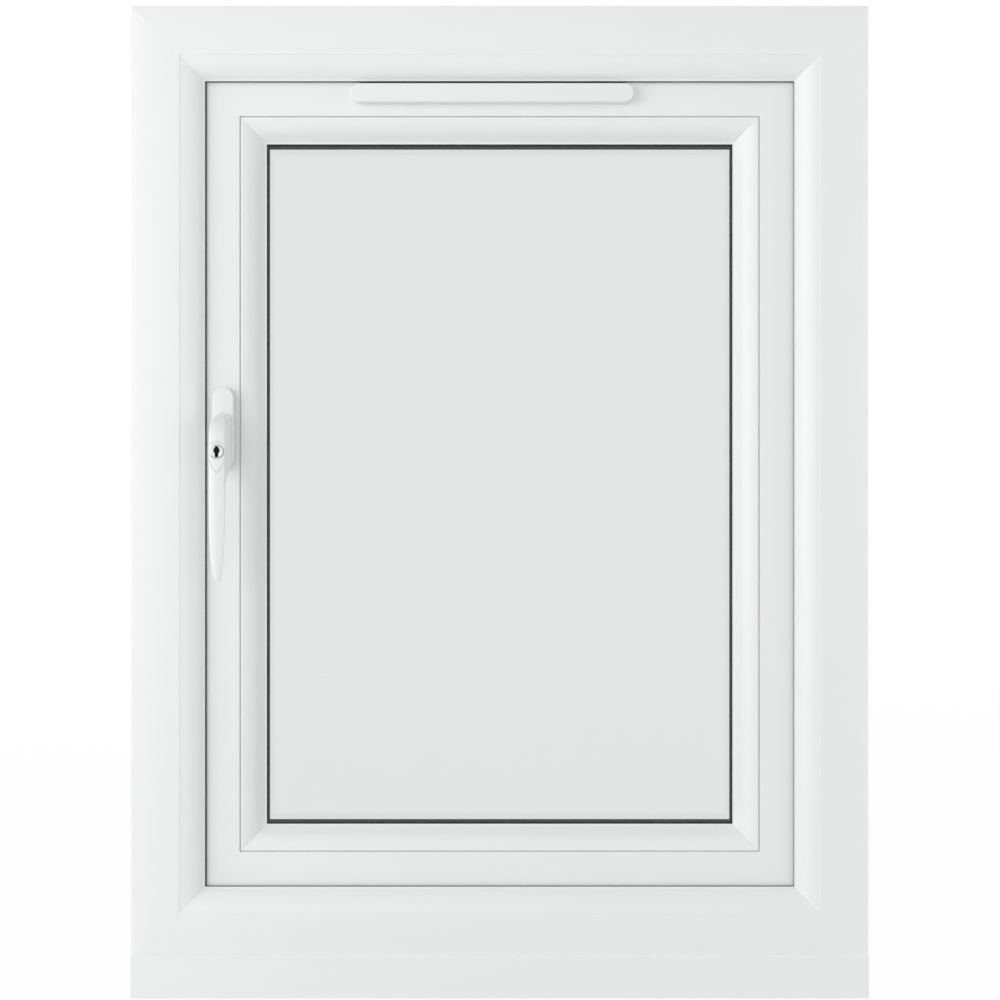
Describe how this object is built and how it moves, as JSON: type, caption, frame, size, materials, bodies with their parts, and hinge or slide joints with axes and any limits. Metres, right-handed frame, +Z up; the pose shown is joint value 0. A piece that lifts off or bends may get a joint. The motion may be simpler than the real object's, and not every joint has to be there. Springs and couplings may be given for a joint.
{
  "type": "side-hung window",
  "caption": "White plastic side-hung window with moulded frame and beads, sealed double glazing, locking lever handle, slim trickle vent and projecting cill.",
  "frame": {"origin": "middle of the cill's flat underside, under the middle of the frame's depth", "axes": "+X to the right as seen from the room, +Y from the room to the outside, +Z up"},
  "size_m": [0.7, 0.1791, 0.941],
  "materials": {
    "white_profile": "satin",
    "white_trim": "satin",
    "handle_coating": "satin powder coat",
    "gasket_rubber": "matte",
    "clear_glass": "clear",
    "spacer_metal": "matte",
    "edge_sealant": "matte",
    "packer_plastic": "matte",
    "lock_steel": "zinc plated",
    "barrel_plating": "polished"
  },
  "bodies": {
    "window": {"bead_bottom": "white_profile", "bead_gasket": "gasket_rubber", "bead_hinge_side": "white_profile", "bead_lock_side": "white_profile", "bead_top": "white_profile", "cill": "white_profile", "cill_end_cap_left": "white_trim", "cill_end_cap_right": "white_trim", "drain_cover_left": "white_trim", "drain_cover_right": "white_trim", "frame_bottom_rail": "white_profile", "frame_head": "white_profile", "frame_hinge_jamb": "white_profile", "frame_lock_jamb": "white_profile", "frame_seal": "gasket_rubber", "glass_edge_seal": "edge_sealant", "glass_inner_pane": "clear_glass", "glass_outer_pane": "clear_glass", "glass_packer_left": "packer_plastic", "glass_packer_right": "packer_plastic", "glass_spacer": "spacer_metal", "glazing_gasket": "gasket_rubber", "handle_plate": "handle_coating", "lock_keep_high": "lock_steel", "lock_keep_low": "lock_steel", "lock_keep_mid": "lock_steel", "sash_bottom_rail": "white_profile", "sash_hinge_stile": "white_profile", "sash_lock": "lock_steel", "sash_lock_stile": "white_profile", "sash_seal": "gasket_rubber", "sash_top_rail": "white_profile", "stay_arm_high": "lock_steel", "stay_arm_low": "lock_steel", "stay_track_high": "lock_steel", "stay_track_low": "lock_steel", "vent_canopy": "white_trim", "vent_cover": "white_trim"},
    "handle": {"handle_lever": "handle_coating", "lock_insert": "handle_coating", "lock_barrel": "barrel_plating", "handle_spindle": "lock_steel"}
  },
  "joints": [
    {"name": "handle_turn", "type": "hinge", "parent": "window", "child": "handle", "pos_m": [-0.2639, -0.028, 0.546], "axis": [0, -1, 0], "range_deg": [0, 90]}
  ]
}
